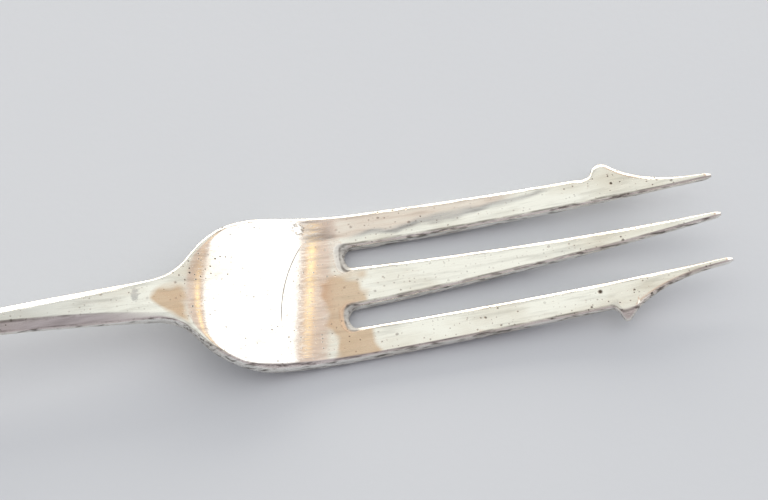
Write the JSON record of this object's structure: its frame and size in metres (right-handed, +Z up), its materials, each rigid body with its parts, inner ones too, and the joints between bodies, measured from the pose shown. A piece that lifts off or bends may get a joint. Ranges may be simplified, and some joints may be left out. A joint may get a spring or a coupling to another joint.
{
  "type": "fish fork",
  "caption": "Fish fork with barbed outer tines, a stepped bowl and a slender bevelled stem, set by its tang, ferrule and cross pin into a tapered bone handle.",
  "frame": {"origin": "on the table under the middle of the fork's length and width, with the fork lying face up on its handle and the roots of its tines", "axes": "+X along the fork from the butt of the handle to the tips of the tines, +Z up out of the bowl's face, +Y to the left looking along the fork"},
  "size_m": [0.179, 0.0208, 0.0103],
  "materials": {
    "silver_plate": "satin",
    "bone": "satin",
    "cement": "matte",
    "pin_metal": "satin"
  },
  "bodies": {
    "root": {"fork_head": "silver_plate", "ferrule": "silver_plate", "handle": "bone", "tang_cement": "cement", "tang_pin": "pin_metal"}
  },
  "joints": []
}
